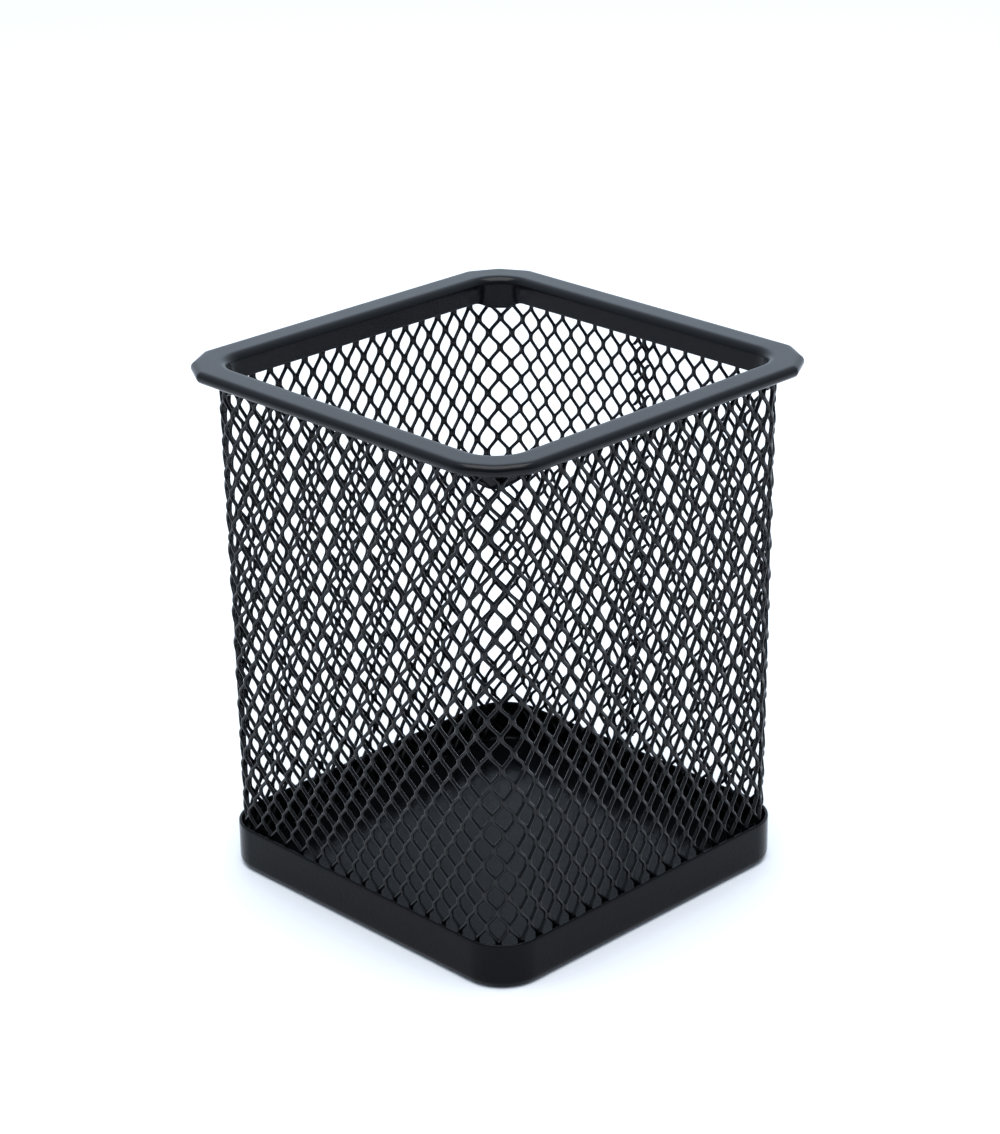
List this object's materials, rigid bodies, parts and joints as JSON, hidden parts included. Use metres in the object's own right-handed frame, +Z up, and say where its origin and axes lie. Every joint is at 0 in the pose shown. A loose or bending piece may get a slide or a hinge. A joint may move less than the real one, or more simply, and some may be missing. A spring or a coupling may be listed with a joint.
{
  "type": "pen holder cup",
  "caption": "Square open-topped desk cup that holds pens: a rolled steel collar and a drawn steel base pan joined by a sleeve of expanded steel mesh.",
  "frame": {"origin": "centre of the base pan's underside, on the surface the cup stands on", "axes": "+Z up along the cup's axis; +Y towards the wall that holds the mesh seam; +X to the right of that when seen from the front"},
  "size_m": [0.084, 0.084, 0.1],
  "materials": {
    "pan_coat": "black powder coat on drawn sheet steel, satin with a fine orange peel",
    "collar_coat": "black powder coat on pressed sheet steel, semi-gloss",
    "mesh_coat": "black powder coat on expanded steel mesh, semi-gloss"
  },
  "bodies": {
    "root": {"base_pan": "pan_coat", "rim_collar": "collar_coat", "mesh_front": "mesh_coat", "mesh_right": "mesh_coat", "mesh_back": "mesh_coat", "mesh_left": "mesh_coat", "mesh_bend_front_right": "mesh_coat", "mesh_bend_back_right": "mesh_coat", "mesh_bend_back_left": "mesh_coat", "mesh_bend_front_left": "mesh_coat", "mesh_seam_lap": "mesh_coat"}
  },
  "joints": []
}
